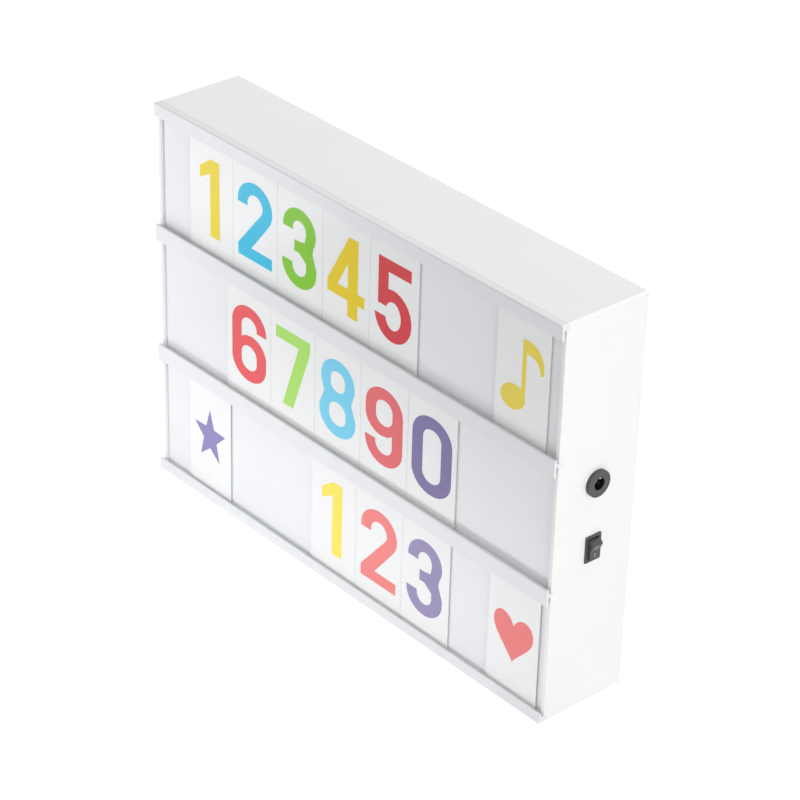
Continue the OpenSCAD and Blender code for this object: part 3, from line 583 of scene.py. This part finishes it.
def print_on_card(card, loops, wide=1.0, high=1.0):
    """The loops printed on a card's front, about its middle and up from the print's base."""
    name = card.removeprefix("card_")
    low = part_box(card)[0]
    origin = Vector((middle(card).x, low.y + PRINT_SUNK, low.z + PRINT_BASE))
    sized = [[(x * wide, z * high) for x, z in loop] for loop in loops]
    ink = print_ink("ink_" + name, INKS[card])
    piece = plate("print_" + name, sized, origin, X_AXIS, Z_AXIS, PRINT_THICKNESS, ink)
    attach(piece, card)


def make_prints():
    """Plain digits counted along the rows, and the three ornaments."""
    digits = digit_loops()
    rows = {"top": (1, 2, 3, 4, 5), "middle": (6, 7, 8, 9, 0), "bottom": (1, 2, 3)}
    for row, shown in rows.items():
        for place, digit in enumerate(shown, start=1):
            centred = [[(x - DIGIT_W / 2, z) for x, z in loop] for loop in digits[digit]]
            print_on_card(f"card_{row}_{place}", centred, DIGIT_SCALE_X, DIGIT_SCALE_Z)
    print_on_card("card_star", star_loops())
    print_on_card("card_heart", heart_loops())
    print_on_card("card_note", note_loops())


# From the rocker's pivot out to the fold between its two faces
ROCKER_RISE = 3.85 * MM
MARK_THICKNESS = 0.05 * MM
MARK_SUNK = 0.01 * MM


def rocker_hinge():
    """The pivot, and half of the swing: the turn at rest, and the slope of each face."""
    joint = next(joint for joint in frame["joints"] if joint["child"] == "rocker")
    low, high = joint["range_deg"]
    return Vector(joint["pos_m"]), math.radians(high - low) / 2


def make_rocker_marks():
    """A bar on the rocker's lower face and a ring on the upper one, raised a little."""
    paint = moulded_plastic("mark_paint", (0.34, 0.35, 0.35), 0.5, 0.3 * MM, 0.01 * MM,
                            patch=2 * MM)
    bar = [round_box(-0.28, -1.2, 0.28, 1.2, 0.2)]
    ring = [arc(0, 0, 1.2, 1.2, 0, 350), arc(0, 0, 0.75, 0.75, 0, 350)]
    pivot, turn = rocker_hinge()
    tilt = Matrix.Rotation(turn, 3, "Y")
    slope = math.tan(turn)
    marks = (("rocker_mark_bar", bar, -2.4 * MM), ("rocker_mark_ring", ring, 1.95 * MM))
    for name, loops, height in marks:
        spot = Vector((ROCKER_RISE + slope * abs(height), 0, height))
        up = tilt @ Vector((math.copysign(slope, height), 0, 1)).normalized()
        origin = pivot + tilt @ spot - Y_AXIS.cross(up) * MARK_SUNK
        piece = plate(name, loops, origin, Y_AXIS, up, MARK_THICKNESS, paint)
        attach(piece, "rocker")


# Degrees about the inlet's axis, from the back over the top
SPRING_ANGLES = (76, 134)
SPRING_WIDTH = 1.2 * MM
SPRING_THICKNESS = 0.6 * MM
# From the inlet's face to the springs' front ends
SPRING_INSET = 0.4 * MM
SPRING_IN_WALL = 0.2 * MM
# Millimetres along the axis from the front end, and outward from the socket's wall
SPRING_BENDS = ((-7.5, 0), (-2.6, -0.7), (-1.2, -0.7), (0, -0.3))


def make_inlet_springs(finishes):
    """Two bent spring tips in the socket, above and beside the pin."""
    face_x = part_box("dc_jack_body")[1].x
    front = Vector((face_x - SPRING_INSET, 0, middle("dc_jack_pin").z))
    for number, angle in enumerate(SPRING_ANGLES, start=1):
        spin = Matrix.Rotation(math.radians(angle - 90), 3, "X")
        shape = bmesh.new()
        rings = []
        for along, out in SPRING_BENDS:
            high = SOCKET_RADIUS + SPRING_IN_WALL + out * MM
            low = high - SPRING_THICKNESS
            left, right = -SPRING_WIDTH / 2, SPRING_WIDTH / 2
            section = ((left, low), (right, low), (right, high), (left, high))
            rings.append([shape.verts.new(front + spin @ Vector((along * MM, y, z)))
                          for y, z in section])
        for first, second in zip(rings, rings[1:]):
            for k in range(4):
                shape.faces.new((first[k], first[k - 1], second[k - 1], second[k]))
        shape.faces.new(rings[0])
        shape.faces.new(rings[-1])
        piece = add_piece(f"inlet_spring_{number}", shape, finishes["contact_metal"])
        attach(piece, "case")


# ---- Stage ----

FLOOR_HALF = 4
FLOOR_COLOUR = (0.82, 0.82, 0.83)
WORLD_LIGHT = 0.49
WARM = (1, 0.99, 0.96)
COOL = (0.97, 0.98, 1)
WHITE = (1, 1, 1)
# What a ray that shows the floor gets: this much plain white, and this share of the lit floor
SEEN_WHITE = 0.82
SHADOW_SHARE = 0.35


def seen_directly(tree):
    """1 for rays that show the stage: from the camera, and in gloss or through clear pieces."""
    path = add(tree, "LightPath")
    total = path.outputs["Is Camera Ray"]
    for name in ("Is Glossy Ray", "Is Transmission Ray"):
        total = calculate(tree, "MAXIMUM", total, path.outputs[name])
    return total


def make_floor():
    """A pale floor that shows white and keeps a part of its shadow."""
    material = bpy.data.materials.new("floor")
    material.use_nodes = True
    tree = material.node_tree
    tree.nodes.clear()
    seen = seen_directly(tree)
    colour = mix(tree, seen, rgba(FLOOR_COLOUR), rgba(shade(FLOOR_COLOUR, SHADOW_SHARE)))
    plain = add(tree, "BsdfDiffuse", {"Color": colour})
    white = add(tree, "Emission", {"Color": rgba(WHITE),
                                   "Strength": ramp(tree, seen, 0, 1, 0, SEEN_WHITE)})
    both = add(tree, "AddShader", {0: plain.outputs["BSDF"], 1: white.outputs["Emission"]})
    add(tree, "OutputMaterial", {"Surface": both.outputs["Shader"]})
    mesh = bpy.data.meshes.new("floor")
    corners = [(x * FLOOR_HALF, y * FLOOR_HALF, 0) for x, y in ((-1, -1), (1, -1), (1, 1), (-1, 1))]
    mesh.from_pydata(corners, [], [(0, 1, 2, 3)])
    mesh.materials.append(material)
    floor = bpy.data.objects.new("floor", mesh)
    bpy.context.scene.collection.objects.link(floor)


def make_world():
    """Even light from all round, and plain white where the world itself is seen."""
    world = bpy.data.worlds.new("studio")
    bpy.context.scene.world = world
    world.use_nodes = True
    tree = world.node_tree
    tree.nodes.clear()
    sky = add(tree, "Background", {"Color": rgba(COOL), "Strength": WORLD_LIGHT})
    white = add(tree, "Background", {"Color": rgba(WHITE), "Strength": 1})
    both = add(tree, "MixShader", {"Fac": seen_directly(tree), 1: sky.outputs["Background"],
                                   2: white.outputs["Background"]})
    add(tree, "OutputWorld", {"Surface": both.outputs["Shader"]})


def area_lamp(name, place, aim, size, power, colour, in_gloss=True, in_diffuse=True):
    """A lamp that faces its aim. It can be kept out of reflections or off matt surfaces."""
    data = bpy.data.lights.new(name, "AREA")
    data.shape = "RECTANGLE"
    data.size = size[0]
    data.size_y = size[1]
    data.energy = power
    data.color = colour
    lamp = bpy.data.objects.new(name, data)
    lamp.location = place
    lamp.rotation_euler = (Vector(aim) - Vector(place)).to_track_quat("-Z", "Y").to_euler()
    lamp.visible_camera = False
    lamp.visible_glossy = in_gloss
    lamp.visible_diffuse = in_diffuse
    bpy.context.scene.collection.objects.link(lamp)


def make_lamps():
    """Soft lamps on the right and behind, and small ones low on the left and at the foot.

    The gloss lamp makes only the soft reflection over the first cards.
    """
    area_lamp("side_lamp", place=(0.9, -0.16, 0.25), aim=(0, -0.02, 0.1), size=(0.3, 0.3),
              power=2.7, colour=WARM)
    area_lamp("back_lamp", place=(0.1, 1.0, 1.6), aim=(0, 0, 0.2), size=(0.9, 0.9),
              power=16.3, colour=WARM)
    area_lamp("left_lamp", place=(-0.3, -0.3, 0.15), aim=(-0.12, -0.03, 0.15), size=(0.12, 0.2),
              power=0.41, colour=COOL)
    area_lamp("foot_lamp", place=(0, -0.12, 0.006), aim=(0, -0.03, 0.03), size=(0.34, 0.03),
              power=0.108, colour=COOL, in_gloss=False)
    area_lamp("gloss_lamp", place=(-0.46, -0.26, 0.004), aim=(-0.46, -0.26, 1), size=(0.3, 0.09),
              power=0.17, colour=COOL, in_diffuse=False)


make_camera()
finishes = make_finishes()
dress_nodes(finishes)
make_prints()
make_rocker_marks()
make_inlet_springs(finishes)
make_floor()
make_world()
make_lamps()

bpy.context.scene.view_settings.view_transform = "Standard"
